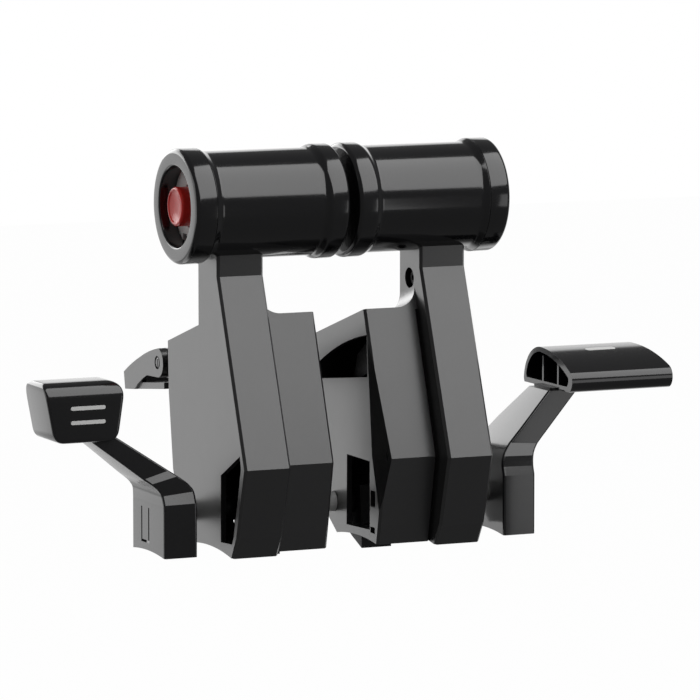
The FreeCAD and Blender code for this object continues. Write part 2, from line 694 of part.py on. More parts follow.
def thrust_lever_pieces():
    """The right-hand thrust lever, piece by piece."""
    return [thrust_shell(), thrust_cover("thrust_cover_right", True), lever_core(),
            screw("neck_screw_right", d.split + 1.6, 49.0, *NECK_SCREW), grip_sleeve(),
            grip_end_ring(), button_housing(), thumb_button(), button_spring(), button_board(),
            reverser_lever(), reverser_pin()]


parts = shaft_group()
parts.append(group("retaining_rings", retaining_rings()))
right = thrust_lever_pieces()
parts += right
for piece in right:
    if piece.Label != "thrust_cover_right":
        parts.append(mirrored(piece, piece.Label.replace("right", "left")))
parts.append(mirrored(thrust_cover("cover_left_form", False), "thrust_cover_left"))
parts += [speed_brake_arm(), speed_brake_knob(), flap_arm(), flap_handle()]

doc.recompute()
for item in doc.Objects:
    if "Invalid" in item.State or "Error" in item.State:
        print("FAILED", item.Name, item.State)

os.makedirs("parts", exist_ok=True)
for part in parts:
    if part.Shape.isNull() or not part.Shape.isValid():
        print("BAD SHAPE", part.Label)
        continue
    part.Shape.exportStep("parts/%s.step" % part.Label)
    print(part.Label, len(part.Shape.Solids), round(part.Shape.Volume))
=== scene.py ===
import math

import bmesh
import bpy
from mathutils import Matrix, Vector


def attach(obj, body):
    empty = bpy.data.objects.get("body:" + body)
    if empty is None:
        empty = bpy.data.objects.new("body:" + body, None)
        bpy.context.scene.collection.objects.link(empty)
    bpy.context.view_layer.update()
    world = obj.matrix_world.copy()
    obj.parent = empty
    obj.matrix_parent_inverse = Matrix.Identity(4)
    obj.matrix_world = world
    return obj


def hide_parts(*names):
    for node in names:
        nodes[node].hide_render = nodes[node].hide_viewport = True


# Dresses a throttle quadrant's lever cluster: finishes for the solids that stay in view, finer
# skins for the grips, knob and outer arms, a few small fasteners and marks, and the stage.

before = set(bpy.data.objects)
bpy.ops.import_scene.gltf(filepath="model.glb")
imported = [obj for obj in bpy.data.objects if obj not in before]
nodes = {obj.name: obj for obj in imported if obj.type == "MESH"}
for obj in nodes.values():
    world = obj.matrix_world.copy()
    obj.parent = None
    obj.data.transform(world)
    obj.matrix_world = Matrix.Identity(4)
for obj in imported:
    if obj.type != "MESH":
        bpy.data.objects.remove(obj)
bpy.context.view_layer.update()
MM = 0.001
SIDES = {"left": -1, "right": 1}
PIVOT = (2.0, -10.0)            # where the shaft sits in the drawing's Y and Z, in mm
WELD_REACH = 1e-6               # in m, as is the next
SAME_POINT = 1e-7


def at(x, y, z):
    """Point of the drawing, in mm, as a point of the frame, in metres."""
    return Vector((x * MM, (y - PIVOT[0]) * MM, (z - PIVOT[1]) * MM))


# ---------------------------------------------------------------- node groups

def new_group(name, inputs, outputs):
    """Empty shader node group; inputs map a name to its default, outputs map a name to its kind."""
    group = bpy.data.node_groups.new(name, "ShaderNodeTree")
    for label, value in inputs.items():
        socket = group.interface.new_socket(name=label, in_out="INPUT",
                                            socket_type="NodeSocketFloat")
        socket.default_value = value
    for label, kind in outputs.items():
        group.interface.new_socket(name=label, in_out="OUTPUT", socket_type=kind)
    return group, group.nodes.new("NodeGroupInput"), group.nodes.new("NodeGroupOutput")


def add(tree, kind, settings=None, **values):
    """Node with its settings and its socket values; a tuple value (node, socket) is a link."""
    node = tree.nodes.new(kind)
    for key, value in (settings or {}).items():
        setattr(node, key, value)
    for key, value in values.items():
        socket = node.inputs[int(key[1:])] if key[0] == "_" else node.inputs[key.replace("_", " ")]
        if isinstance(value, tuple) and isinstance(value[0], bpy.types.Node):
            tree.links.new(value[0].outputs[value[1]], socket)
        else:
            socket.default_value = value
    return node


def math_node(tree, operation, first, second=0.0, clamp=False):
    """One sum or product; an operand is a number or a (node, socket) link."""
    return add(tree, "ShaderNodeMath", {"operation": operation, "use_clamp": clamp},
               _0=first, _1=second)


def moulded_surface():
    """Fine mould texture, slow waviness and smudges of a moulded plastic skin."""
    group, given, result = new_group(
        "Moulded Surface",
        {"Grain Size": 900.0, "Grain": 0.2, "Wave": 0.3, "Smudge": 0.06, "Roughness": 0.25},
        {"Height": "NodeSocketFloat", "Roughness": "NodeSocketFloat"})
    place = add(group, "ShaderNodeTexCoord")
    grain = add(group, "ShaderNodeTexNoise", Vector=(place, "Object"),
                Scale=(given, "Grain Size"), Detail=3.0)
    wave = add(group, "ShaderNodeTexNoise", Vector=(place, "Object"), Scale=45.0, Detail=1.0)
    smudge = add(group, "ShaderNodeTexNoise", Vector=(place, "Object"), Scale=120.0, Detail=5.0)
    fine = math_node(group, "MULTIPLY", (grain, "Fac"), (given, "Grain"))
    slow = math_node(group, "MULTIPLY", (wave, "Fac"), (given, "Wave"))
    height = math_node(group, "ADD", (fine, 0), (slow, 0))
    centred = math_node(group, "SUBTRACT", (smudge, "Fac"), 0.5)
    spread = math_node(group, "MULTIPLY", (centred, 0), (given, "Smudge"))
    rough = math_node(group, "ADD", (spread, 0), (given, "Roughness"), clamp=True)
    group.links.new(height.outputs[0], result.inputs["Height"])
    group.links.new(rough.outputs[0], result.inputs["Roughness"])
    return group


def edge_rub():
    """Mask of the rubbed edges: where the rounded normal leaves the flat one."""
    group, given, result = new_group("Edge Rub", {"Width": 0.0006, "Amount": 1.0},
                                     {"Mask": "NodeSocketFloat"})
    rounded = add(group, "ShaderNodeBevel", {"samples": 4}, Radius=(given, "Width"))
    flat = add(group, "ShaderNodeNewGeometry")
    agree = add(group, "ShaderNodeVectorMath", {"operation": "DOT_PRODUCT"},
                _0=(rounded, 0), _1=(flat, "Normal"))
    turned = math_node(group, "SUBTRACT", 1.0, (agree, "Value"))
    sharp = math_node(group, "MULTIPLY", (turned, 0), 6.0, clamp=True)
    place = add(group, "ShaderNodeTexCoord")
    patchy = add(group, "ShaderNodeTexNoise", Vector=(place, "Object"), Scale=260.0, Detail=4.0)
    broken = math_node(group, "MULTIPLY", (sharp, 0), (patchy, "Fac"))
    mask = math_node(group, "MULTIPLY", (broken, 0), (given, "Amount"), clamp=True)
    group.links.new(mask.outputs[0], result.inputs["Mask"])
    return group


def speckle_tint():
    """Two close shades mixed by a fine noise."""
    group, given, result = new_group("Speckle Tint", {"Size": 700.0, "Contrast": 1.0},
                                     {"Mask": "NodeSocketFloat"})
    place = add(group, "ShaderNodeTexCoord")
    noise = add(group, "ShaderNodeTexNoise", Vector=(place, "Object"), Scale=(given, "Size"),
                Detail=6.0)
    centred = math_node(group, "SUBTRACT", (noise, "Fac"), 0.5)
    wide = math_node(group, "MULTIPLY", (centred, 0), (given, "Contrast"))
    mask = math_node(group, "ADD", (wide, 0), 0.5, clamp=True)
    group.links.new(mask.outputs[0], result.inputs["Mask"])
    return group


GROUPS = {"surface": moulded_surface(), "rub": edge_rub(), "tint": speckle_tint()}


# ---------------------------------------------------------------- materials

MIX_SHARE, MIX_FIRST, MIX_SECOND, MIX_COLOUR = 0, 6, 7, 2      # sockets of a colour mix


def finish_of(name, dark, light, worn, roughness=0.25, grain=0.2, grain_size=900.0, wave=0.3,
              smudge=0.06, metallic=0.0, coat=0.0, coat_roughness=0.05, ior=1.5, bump=0.00004,
              rub=1.0, rub_width=0.0005, tint_size=700.0):
    """Procedural material; dark, light and worn are its two shades and its rubbed edges."""
    material = bpy.data.materials.new(name)
    material.use_nodes = True
    tree = material.node_tree
    shader = tree.nodes["Principled BSDF"]
    surface = add(tree, "ShaderNodeGroup", {"node_tree": GROUPS["surface"]})
    for label, value in (("Grain Size", grain_size), ("Grain", grain), ("Wave", wave),
                         ("Smudge", smudge), ("Roughness", roughness)):
        surface.inputs[label].default_value = value
    tint = add(tree, "ShaderNodeGroup", {"node_tree": GROUPS["tint"]})
    tint.inputs["Size"].default_value = tint_size
    edges = add(tree, "ShaderNodeGroup", {"node_tree": GROUPS["rub"]})
    edges.inputs["Amount"].default_value = rub
    edges.inputs["Width"].default_value = rub_width
    shades = add(tree, "ShaderNodeMix", {"data_type": "RGBA"})
    shades.inputs[MIX_FIRST].default_value = (*dark, 1.0)
    shades.inputs[MIX_SECOND].default_value = (*light, 1.0)
    tree.links.new(tint.outputs["Mask"], shades.inputs[MIX_SHARE])
    colour = add(tree, "ShaderNodeMix", {"data_type": "RGBA"})
    colour.inputs[MIX_SECOND].default_value = (*worn, 1.0)
    tree.links.new(shades.outputs[MIX_COLOUR], colour.inputs[MIX_FIRST])
    tree.links.new(edges.outputs["Mask"], colour.inputs[MIX_SHARE])
    relief = add(tree, "ShaderNodeBump", Height=(surface, "Height"), Strength=1.0, Distance=bump)
    tree.links.new(colour.outputs[MIX_COLOUR], shader.inputs["Base Color"])
    tree.links.new(surface.outputs["Roughness"], shader.inputs["Roughness"])
    tree.links.new(relief.outputs[0], shader.inputs["Normal"])
    shader.inputs["Metallic"].default_value = metallic
    shader.inputs["Coat Weight"].default_value = coat
    shader.inputs["Coat Roughness"].default_value = coat_roughness
    shader.inputs["IOR"].default_value = ior
    shader.inputs["Coat IOR"].default_value = ior
    return material


def make_finishes():
    """Every finish of the object, by the short name that the pieces use."""
    return {
        "pod": finish_of("pod_gloss_black", (0.010, 0.010, 0.011), (0.016, 0.016, 0.017),
                         (0.05, 0.05, 0.052), roughness=0.36, coat=1.0, coat_roughness=0.29,
                         ior=1.6),
        "grip": finish_of("grip_gloss_black", (0.006, 0.006, 0.007), (0.010, 0.010, 0.011),
                          (0.04, 0.04, 0.042), roughness=0.15, coat=0.85, coat_roughness=0.09,
                          grain=0.05),
        "arm": finish_of("arm_gloss_black", (0.008, 0.008, 0.009), (0.013, 0.013, 0.014),
                         (0.05, 0.05, 0.052), roughness=0.15, coat=0.8, coat_roughness=0.07,
                         grain=0.06),
        "inner": finish_of("inner_satin_black", (0.009, 0.009, 0.010), (0.014, 0.014, 0.015),
                           (0.03, 0.03, 0.032), roughness=0.42, grain=0.5),
        "red": finish_of("button_red", (0.86, 0.022, 0.018), (0.95, 0.040, 0.030),
                         (0.92, 0.20, 0.17), roughness=0.25, coat=0.2, coat_roughness=0.12),
        "steel": finish_of("turned_steel", (0.42, 0.42, 0.44), (0.55, 0.55, 0.57),
                           (0.75, 0.75, 0.76), roughness=0.30, metallic=1.0, grain=0.4),
        "cast": finish_of("cast_alloy", (0.020, 0.020, 0.022), (0.034, 0.034, 0.036),
                          (0.12, 0.12, 0.13), roughness=0.48, metallic=0.3, grain=1.0),
        # The pale bush finish is the spacers' own colour; on the recess floor it is a painted
        # reflection, standing in for the light that the floor reflects.
        "bush_and_painted_reflection": finish_of("bush_polymer", (0.66, 0.66, 0.65), (0.74, 0.74, 0.73),
                          (0.80, 0.80, 0.79), roughness=0.45, grain=0.5),
        "board": finish_of("switch_board", (0.010, 0.075, 0.028), (0.016, 0.11, 0.040),
                           (0.10, 0.22, 0.12), roughness=0.45),
        "mark": finish_of("index_white", (0.86, 0.86, 0.85), (0.92, 0.92, 0.91),
                          (0.94, 0.94, 0.93), roughness=0.4, rub=0.2),
    }


FINISHES = make_finishes()


# ---------------------------------------------------------------- mesh helpers

def crease_marks(least_deg=7.0):
    """Node group that keeps bends too shallow to be rounded as crisp edges."""
    tree = bpy.data.node_groups.new("crease_marks", "GeometryNodeTree")
    tree.interface.new_socket(name="Geometry", in_out="INPUT", socket_type="NodeSocketGeometry")
    tree.interface.new_socket(name="Geometry", in_out="OUTPUT", socket_type="NodeSocketGeometry")
    source = tree.nodes.new("NodeGroupInput")
    result = tree.nodes.new("NodeGroupOutput")
    bend = tree.nodes.new("GeometryNodeInputMeshEdgeAngle")
    compare = tree.nodes.new("FunctionNodeCompare")
    compare.data_type = "FLOAT"
    compare.operation = "GREATER_THAN"
    compare.inputs["B"].default_value = math.radians(least_deg)
    shade = tree.nodes.new("GeometryNodeSetShadeSmooth")
    shade.domain = "EDGE"
    shade.inputs["Shade Smooth"].default_value = False
    tree.links.new(bend.outputs["Unsigned Angle"], compare.inputs["A"])
    tree.links.new(source.outputs["Geometry"], shade.inputs[0])
    tree.links.new(compare.outputs["Result"], shade.inputs["Selection"])
    tree.links.new(shade.outputs[0], result.inputs["Geometry"])
    return tree


CREASE_MARKS = crease_marks()


def dress_node(node, finish, round_mm, least_bend_deg=32):
    """Finish and softly rounded edges for a CAD node that stays in view."""
    node.data.materials.clear()
    node.data.materials.append(FINISHES[finish])
    weld = node.modifiers.new("weld", "WELD")
    weld.merge_threshold = WELD_REACH
    marks = node.modifiers.new("marks", "NODES")
    marks.node_group = CREASE_MARKS
    soften = node.modifiers.new("soften", "BEVEL")
    soften.width = round_mm * MM
    soften.segments = 2
    soften.limit_method = "ANGLE"
    soften.angle_limit = math.radians(least_bend_deg)
    soften.use_clamp_overlap = True
    level = node.modifiers.new("level", "WEIGHTED_NORMAL")
    level.keep_sharp = True


def finish_piece(piece, body, finish, smooth_deg=35):
    """Material, shading and the CAD body for a new piece."""
    piece.data.materials.clear()
    piece.data.materials.append(FINISHES[finish])
    for polygon in piece.data.polygons:
        polygon.use_smooth = True
    piece.data.set_sharp_from_angle(angle=math.radians(smooth_deg))
    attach(piece, body)


def mesh_object(name, vertices, faces):
    """Welded mesh with its normals outwards, put in the scene."""
    mesh = bpy.data.meshes.new(name)
    mesh.from_pydata(vertices, [], faces)
    mesh.validate()
    made = bpy.data.objects.new(name, mesh)
    bpy.context.scene.collection.objects.link(made)
    shape = bmesh.new()
    shape.from_mesh(mesh)
    bmesh.ops.remove_doubles(shape, verts=shape.verts, dist=SAME_POINT)
    bmesh.ops.recalc_face_normals(shape, faces=shape.faces)
    if shape.calc_volume(signed=True) < 0:
        bmesh.ops.reverse_faces(shape, faces=shape.faces)
    shape.to_mesh(mesh)
    shape.free()
    return made


def rounded(profile, radius, steps=4):
    """Closed outline with each corner cut back by radius (or its own) and rounded."""
    points = []
    count = len(profile)
    for index, corner in enumerate(profile):
        here = Vector(corner[:2])
        before = Vector(profile[index - 1][:2])
        after = Vector(profile[(index + 1) % count][:2])
        own = corner[2] if len(corner) > 2 else radius
        reach = min(own, (before - here).length * 0.45, (after - here).length * 0.45)
        if reach <= 1e-6:        # a square corner
            points.append(here)
            continue
        start = here + (before - here).normalized() * reach
        end = here + (after - here).normalized() * reach
        for step in range(steps + 1):
            t = step / steps
            points.append(start * (1 - t) ** 2 + here * 2 * t * (1 - t) + end * t * t)
    return points


def turned(name, profile, centre, sign=1, edge=0.35, steps=160):
    """Solid turned about an axis along X; the profile holds (x, r) in mm and may carry a radius."""
    outline = rounded(profile, edge)
    vertices, faces = [], []
    count = len(outline)
    for step in range(steps):
        angle = 2 * math.pi * step / steps
        for point in outline:
            radius = max(point[1], 0.0)
            vertices.append(at(point[0] * sign + centre[0],
                               centre[1] + radius * math.cos(angle),
                               centre[2] + radius * math.sin(angle)))
    for step in range(steps):
        following = (step + 1) % steps
        for index in range(count):
            nearby = (index + 1) % count
            faces.append((step * count + index, step * count + nearby,
                          following * count + nearby, following * count + index))
    return mesh_object(name, vertices, faces)


def skinned(name, loops, close_start=True, close_end=True):
    """Skin through loops that all hold the same number of points."""
    count = len(loops[0])
    vertices = [point for loop in loops for point in loop]
    faces = []
    for step in range(len(loops) - 1):
        for index in range(count):
            nearby = (index + 1) % count
            faces.append((step * count + index, step * count + nearby,
                          (step + 1) * count + nearby, (step + 1) * count + index))
    if close_start:
        faces.append(tuple(range(count)))
    if close_end:
        faces.append(tuple(range((len(loops) - 1) * count, len(loops) * count)))
    return mesh_object(name, vertices, faces)


def smooth_path(stations, parts=6):
    """Stations joined smoothly in x and z; front and back follow the height climbed."""
    padded = [stations[0]] + list(stations) + [stations[-1]]
    run = []
    for index in range(1, len(padded) - 2):
        a, b, c, e = (Vector(padded[index + shift][:4]) for shift in (-1, 0, 1, 2))
        depth_here, depth_next = Vector(padded[index][4:]), Vector(padded[index + 1][4:])
        rise = (c[1] + c[3]) - (b[1] + b[3])
        for part in range(parts):
            t = part / parts
            place = 0.5 * ((2 * b) + (c - a) * t + (2 * a - 5 * b + 4 * c - e) * t ** 2
                           + (3 * b - a - 3 * c + e) * t ** 3)
            climbed = ((place[1] + place[3]) - (b[1] + b[3])) / rise
            run.append((*place, *depth_here.lerp(depth_next, climbed)))
    run.append(stations[-1])
    return run


def cut_with(target, cutters):
    """Takes closed cutters out of a piece and removes them."""
    for cutter in cutters:
        cut = target.modifiers.new("cut", "BOOLEAN")
        cut.operation = "DIFFERENCE"
        cut.solver = "EXACT"
        cut.object = cutter
        bpy.context.view_layer.update()
        graph = bpy.context.evaluated_depsgraph_get()
        result = bpy.data.meshes.new_from_object(target.evaluated_get(graph))
        target.modifiers.clear()
        target.data = result
        bpy.data.objects.remove(cutter)


def block(name, low, high):
    """Closed box between two points of the drawing; used only to cut with."""
    (x0, y0, z0), (x1, y1, z1) = low, high
    corners = [at(x, y, z) for x in (x0, x1) for y in (y0, y1) for z in (z0, z1)]
    return mesh_object(name, corners, [(0, 1, 3, 2), (4, 6, 7, 5), (0, 4, 5, 1), (2, 3, 7, 6),
                                       (0, 2, 6, 4), (1, 5, 7, 3)])


# ---------------------------------------------------------------- speed-brake and flap arms

FRONT_EDGE, REAR_EDGE = 1.1, 1.0                # rounding of an arm's long edges
SOLE_RADIUS, SOLE_TOP, SOLE_MIDDLE = 110.0, -20.3, -22.0       # hollow sole: arc, its Z and Y
SOLE_FRONT, SOLE_BACK, SOLE_BELOW = -39.6, -5.6, -32.0
SOLE_SIDES, SOLE_STEPS = (60.0, 84.0), 24
TAB_LEFT, TAB_RIGHT = (-23.8, -22.8), (-16.9, -15.9)           # Y of the two legs of the U slot
TAB_SKIN, TAB_DEEP = -79.0, -77.0
TAB_FOOT, TAB_TURN, TAB_HEAD = -17.6, -16.6, -4.0
LUG_FACES = ((64.5, 0.4), (65.0, 0.0), (69.9, 0.0), (70.4, 0.4))        # X and inset
LUG_RADIUS, LUG_FRONT, LUG_STEPS = 6.2, -8.0, 24
LUG_BORE = 3.05


def arm_section(inner, outer, front, back):
    """Rounded four-sided loop between an inner and an outer edge point."""
    (xi, zi), (xo, zo) = inner, outer
    across = Vector((xo - xi, zo - zi))
    width = across.length
    corners = [(0.0, front), (width, front), (width, back, REAR_EDGE), (0.0, back, REAR_EDGE)]
    loop = []
    for u, y in rounded(corners, FRONT_EDGE, 16):
        t = u / width
        loop.append(at(xi + across.x * t, y, zi + across.y * t))
    return loop


def sole_cutter(sign):
    """Block with an arched top that hollows the sole of a foot."""
    loops = []
    for x in (side * sign for side in SOLE_SIDES):
        arc = []
        for step in range(SOLE_STEPS + 1):
            y = SOLE_FRONT + (SOLE_BACK - SOLE_FRONT) * step / SOLE_STEPS
            drop = SOLE_RADIUS - math.sqrt(SOLE_RADIUS ** 2 - (y - SOLE_MIDDLE) ** 2)
            arc.append(at(x, y, SOLE_TOP - drop))
        loops.append(arc + [at(x, SOLE_BACK, SOLE_BELOW), at(x, SOLE_FRONT, SOLE_BELOW)])
    return skinned("sole_cutter", loops)


def tab_cutters():
    """Three grooves that part a U-shaped tab in the speed brake's foot."""
    legs = [((TAB_DEEP, front, TAB_FOOT), (TAB_SKIN, back, TAB_HEAD))
            for front, back in (TAB_LEFT, TAB_RIGHT)]
    turn = ((TAB_DEEP, TAB_LEFT[0], TAB_FOOT), (TAB_SKIN, TAB_RIGHT[1], TAB_TURN))
    return [block("tab_slot", low, high) for low, high in legs + [turn]]


def lever_arm(name, sign, stations):
    """Bent hollow-footed arm; a station is (inner x, z, outer x, z, front y, back y)."""
    arm = skinned(name, [arm_section((x0 * sign, z0), (x1 * sign, z1), y0, y1)
                         for x0, z0, x1, z1, y0, y1 in smooth_path(stations)])
    cutters = [sole_cutter(sign),
               block("socket_cutter", (66.62 * sign, -34.0, -30.0), (75.9 * sign, -11.0, -3.0))]
    if sign < 0:
        cutters += tab_cutters()
    cut_with(arm, cutters)
    return arm


def shaft_lug(name, sign):
    """Ear behind a foot that runs on the shaft."""
    loops = []
    for x, inset in LUG_FACES:
        radius = LUG_RADIUS - inset
        loop = [at(x * sign, LUG_FRONT, PIVOT[1] + radius)]
        for step in range(LUG_STEPS + 1):
            turn = math.pi * (0.5 - step / LUG_STEPS)
            loop.append(at(x * sign, PIVOT[0] + radius * math.cos(turn),
                           PIVOT[1] + radius * math.sin(turn)))
        loop.append(at(x * sign, LUG_FRONT, PIVOT[1] - radius))
        loops.append(loop)
    lug = skinned(name, loops)
    bore = turned("bore_cutter", [(60, 0.01), (75, 0.01), (75, LUG_BORE), (60, LUG_BORE)],
                  (0.0, *PIVOT), sign, edge=0, steps=48)
    cut_with(lug, [bore])
    return lug


BRAKE_STATIONS = [
    (64.42, -25.0, 78.1, -25.0, -38.6, -7.0), (64.42, -14.0, 78.1, -14.0, -38.6, -7.0),
    (64.42, -8.0, 78.1, -8.0, -38.6, -7.0), (64.42, -4.4, 78.1, -4.4, -38.58, -7.0),
    (64.42, -2.4, 78.1, -2.6, -38.5, -7.0), (64.42, -1.0, 78.1, -1.2, -38.3, -7.0),
    (64.9, 3.4, 78.4, 2.2, -37.0, -7.2),
    (66.7, 5.9, 79.4, 3.9, -36.9, -7.4), (68.5, 7.5, 80.5, 5.1, -36.8, -7.8),
    (71.5, 9.6, 82.8, 6.9, -36.6, -8.6), (74.8, 11.8, 85.4, 8.8, -35.6, -9.4),
    (84.9, 18.5, 95.3, 16.35, -34.7, -13.2), (96.8, 26.4, 107.0, 25.2, -33.1, -17.2)]
FLAP_STATIONS = [
    (64.42, -25.0, 78.1, -25.0, -38.6, -7.0), (64.42, -14.0, 78.1, -14.0, -38.6, -7.0),
    (64.42, -7.0, 78.1, -7.0, -38.6, -7.0), (64.42, -2.5, 78.1, -2.5, -38.6, -7.0),
    (64.42, 0.2, 78.1, 0.2, -38.58, -7.0), (64.42, 1.8, 78.1, 1.8, -38.55, -7.0),
    (64.42, 5.2, 78.12, 5.0, -37.5, -7.0), (64.6, 7.2, 78.25, 7.0, -37.1, -7.1),
    (65.2, 9.2, 78.6, 8.9, -36.7, -7.3), (66.5, 11.3, 79.4, 10.7, -35.98, -7.5),
    (68.9, 14.1, 81.2, 13.2, -34.92, -7.9), (75.5, 21.3, 87.0, 19.7, -34.4, -9.8),
    (86.5, 33.2, 99.3, 33.2, -33.1, -15.2)]


def outer_levers():
    """Skins of the speed-brake and flap arms, with their lugs and the handle's neck."""
    for name, sign, stations in (("speed_brake", -1, BRAKE_STATIONS), ("flap", 1, FLAP_STATIONS)):
        body = "flaps" if name == "flap" else name
        arm = lever_arm(name + "_arm_skin", sign, stations)
        finish_piece(arm, body, "arm", 4)
        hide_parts(name + "_arm")
        lug = shaft_lug(name + "_shaft_lug", sign)
        finish_piece(lug, body, "arm", 28)
    neck = skinned("handle_neck", [
        [at(x, y, z) for x, y in rounded([(88, -32), (98, -32), (98, -16.5), (88, -16.5)], 1.2)]
        for z in (32.0, 34.2)])
    finish_piece(neck, "flaps", "inner")


# ---------------------------------------------------------------- speed-brake knob, marks

BAR_SUNK = 0.2                  # how far a printed bar reaches into the surface, in mm
KNOB_BOTTOM, KNOB_TOP = 24.1, 46.9
KNOB_LEVELS = 46


def outline_bounds(outline, level):
    """Least and greatest cross value of a closed outline at one level."""
    found = []
    for index, here in enumerate(outline):
        after = outline[(index + 1) % len(outline)]
        if (here[1] - level) * (after[1] - level) <= 0 and abs(here[1] - after[1]) > 1e-9:
            t = (level - here[1]) / (after[1] - here[1])
            found.append(here[0] + (after[0] - here[0]) * t)
    return min(found), max(found)


def index_bar(name, body, centre, across, up, size, lift):
    """Thin printed bar with round ends; centre, across and up are in the drawing."""
    length, height = size
    outward = Vector(across).cross(Vector(up)).normalized()
    ring = []
    for step in range(32):
        turn = 2 * math.pi * step / 32
        shift = (length - height) / 2 * (1 if math.cos(turn) > 0 else -1)
        ring.append((shift + height / 2 * math.cos(turn), height / 2 * math.sin(turn)))
    loops = []
    for depth in (-BAR_SUNK, lift):
        loops.append([at(*(Vector(centre) + Vector(across) * u + Vector(up) * v
                           + outward * depth)) for u, v in ring])
    bar = skinned(name, loops)
    finish_piece(bar, body, "mark", 60)
    return bar


def settle_on_top(bar, node, lift):
    """Drops each point of a bar straight down onto a node's upper surface."""
    bpy.context.view_layer.update()
    inverse = node.matrix_world.inverted()
    down = (inverse.to_3x3() @ Vector((0, 0, -1))).normalized()
    for vertex in bar.data.vertices:
        above = inverse @ Vector((vertex.co.x, vertex.co.y, 0.2))
        hit, place, _, _ = node.ray_cast(above, down)
        if hit:
            height = -BAR_SUNK if vertex.co.z < 0 else lift
            vertex.co.z = (node.matrix_world @ place).z + height * MM


def index_marks():
    """Plain white bars where the knob and the handle carry their marking."""
    bar = index_bar("handle_index", "flaps", (112.0, -27.0, PIVOT[1]), (1, 0, 0), (0, 1, 0),
                    (13.0, 3.0), 0.1)
    settle_on_top(bar, nodes["flap_handle"], 0.04)
    for row, up in enumerate((37.4, 32.0)):
        index_bar("knob_index_%d" % row, "speed_brake", (-107.6, -36.0, up), (1, 0, 0),
                  (0, 0, 1), (14.0, 1.5), 0.03)


def brake_knob():
    """Wedge knob whose front and side outlines both end in generous rounds."""
    front = rounded([(-125.2, KNOB_TOP, 3.2), (-92.0, KNOB_TOP, 7.0), (-95.4, KNOB_BOTTOM, 4.6),
                     (-120.9, KNOB_BOTTOM, 4.2)], 4.0, 12)
    side = rounded([(-36.0, KNOB_TOP, 7.5), (-13.6, KNOB_TOP, 8.0), (-13.6, KNOB_BOTTOM, 2.5),
                    (-36.0, KNOB_BOTTOM, 1.8)], 2.0, 12)
    just_inside = 0.003
    loops = []
    for step in range(KNOB_LEVELS + 1):
        climbed = 0.5 * (1 - math.cos(math.pi * step / KNOB_LEVELS))
        level = KNOB_BOTTOM + (KNOB_TOP - KNOB_BOTTOM) * climbed
        level = min(max(level, KNOB_BOTTOM + just_inside), KNOB_TOP - just_inside)
        x0, x1 = outline_bounds(front, level)
        y0, y1 = outline_bounds(side, level)
        loop = rounded([(x0, y0), (x1, y0), (x1, y1), (x0, y1)], 1.3, 6)
        loops.append([at(x, y, level) for x, y in loop])
    knob = skinned("speed_brake_knob_skin", loops)
    finish_piece(knob, "speed_brake", "arm", 40)
    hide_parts("speed_brake_knob")


# ---------------------------------------------------------------- hand grips

GRIP = (0.0, -20.0, 110.0)
GRIP_RADIUS, GRIP_WAIST, GRIP_BORE = 22, 20.65, 18
RECESS_RADIUS = 15.5
BUTTON_RADIUS, BUTTON_WELL = 7.5, 2.5


def hand_grip(side, sign):
    """Sleeve, end ring, thumb button and recess floor of one grip, turned about its axis."""
    body = "thrust_" + side
    sleeve = turned("grip_skin_" + side, [
        (1.85, 0.01, 0), (1.85, 20.8, 0.6), (3.05, GRIP_RADIUS, 0.6), (9.4, GRIP_RADIUS, 0.9),
        (11.6, GRIP_WAIST, 0.9), (54.4, GRIP_WAIST, 0.9), (56.9, GRIP_RADIUS, 0.4),
        (57.0, 21.7, 0.1), (57.0, GRIP_BORE, 0.2), (4.5, GRIP_BORE, 0.2),
        (4.5, 0.01, 0)], GRIP, sign)
    finish_piece(sleeve, body, "grip")
    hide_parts("grip_sleeve_" + side)
    ring = turned("grip_ring_skin_" + side, [
        (53.0, RECESS_RADIUS, 0.1), (65.17, RECESS_RADIUS, 0.4), (65.67, 16.0, 0.4),
        (65.67, 20.8, 0.8), (64.47, GRIP_RADIUS, 0.8), (57.1, GRIP_RADIUS, 0.2),
        (57.1, GRIP_BORE, 0.1), (53.0, GRIP_BORE, 0.1)], GRIP, sign)
    finish_piece(ring, body, "grip")
    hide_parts("grip_end_ring_" + side)
    button = turned("thumb_button_skin_" + side, [
        (47.5, 0.01, 0), (64.3, 0.01, 0), (64.45, 3.0, 1.5), (65.2, 6.0, 0.3), (65.67, 6.3, 0.2),
        (65.67, 6.9, 0.3), (65.07, BUTTON_RADIUS, 0.4), (56.0, BUTTON_RADIUS, 0.2),
        (56.0, BUTTON_WELL, 0.1), (49.5, BUTTON_WELL, 0.1), (49.5, 3.4, 0.1),
        (47.5, 3.4, 0.1)], GRIP, sign, steps=96)
    finish_piece(button, "button_" + side, "red")
    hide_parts("thumb_button_" + side)
    # The recess floor takes the pale bush finish as a painted reflection: its light tone stands in
    # for the light reflected off the floor of the recess.
    floor = turned("recess_floor_" + side, [
        (57.6, 8.6, 0.1), (59.0, 8.6, 0.3), (59.0, 15.44, 0.1), (57.6, 15.44, 0.1)], GRIP, sign)
    cut_with(floor, [block("tab_window", (57.0 * sign, -16.2, 95.9), (60.0 * sign, -12.6, 99.0))])
    finish_piece(floor, body, "bush_and_painted_reflection")


def pivot_screw(side, sign):
    """Slotted head at the outer end of the reverser lever's pin."""
    head = turned("pivot_screw_" + side, [
        (51.3, 0.01, 0), (51.95, 0.01, 0), (51.95, 1.7, 0.1), (51.7, 2.05, 0.1), (51.3, 2.05, 0)],
        (0.0, 30.5, 44.3), sign, steps=64)
    cut_with(head, [block("slot", (51.6 * sign, 30.2, 42.7), (52.3 * sign, 30.8, 45.9))])
    finish_piece(head, "thrust_" + side, "grip")


